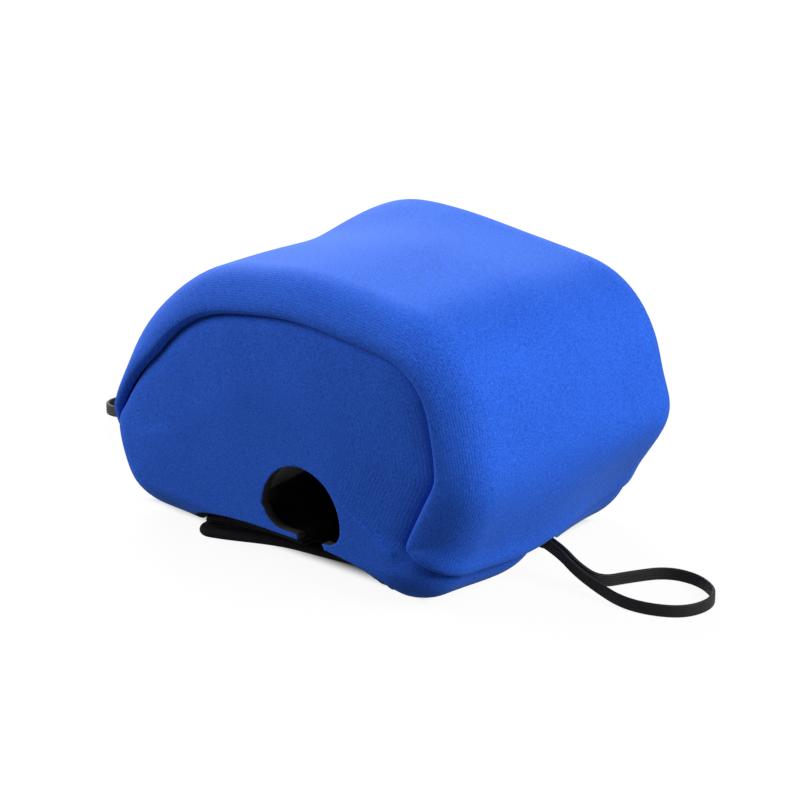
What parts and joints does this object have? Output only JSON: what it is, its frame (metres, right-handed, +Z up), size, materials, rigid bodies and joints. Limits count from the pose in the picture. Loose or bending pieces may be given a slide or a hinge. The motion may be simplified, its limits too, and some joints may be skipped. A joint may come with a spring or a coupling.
{
  "type": "neoprene fishing reel cover",
  "caption": "Soft neoprene slip-over cover for a low-profile fishing reel, with a line hole, a slit, a hook-and-loop bottom flap and elastic pull loops.",
  "frame": {"origin": "centre of the cover's footprint on the surface it stands on, pull loops left out", "axes": "+X towards the reel's handle side, -Y is the front end panel with the line hole, +Z up"},
  "size_m": [0.2101, 0.087, 0.0757],
  "materials": {
    "blue_knit_neoprene": "ribbed nylon jersey over foam neoprene",
    "black_binding": "smooth black knit over foam",
    "loop_tape": "brushed loop pile",
    "hook_tape": "woven base with moulded hooks",
    "black_elastic": "flat braided elastic"
  },
  "bodies": {
    "cover": {"saddle": "blue_knit_neoprene", "front_panel": "blue_knit_neoprene", "rear_panel": "blue_knit_neoprene", "front_facing": "black_binding", "loop_strip": "loop_tape", "right_loop_tail": "black_elastic", "left_loop_tail": "black_elastic"},
    "flap": {"closure_flap": "black_binding", "hook_strip": "hook_tape"},
    "right_pull": {"right_pull_loop": "black_elastic"},
    "left_pull": {"left_pull_loop": "black_elastic"}
  },
  "joints": [
    {"name": "flap_hinge", "type": "hinge", "parent": "cover", "child": "flap", "pos_m": [0, 0.024, 0], "axis": [1, 0, 0], "range_deg": [0, 110]},
    {"name": "right_pull_lift", "type": "hinge", "parent": "cover", "child": "right_pull", "pos_m": [0.05348, -0.0035, 0.01018], "axis": [0, -1, 0], "range_deg": [0, 35]},
    {"name": "left_pull_lift", "type": "hinge", "parent": "cover", "child": "left_pull", "pos_m": [-0.06343, -0.0035, 0.01961], "axis": [0, 1, 0], "range_deg": [0, 35]}
  ]
}
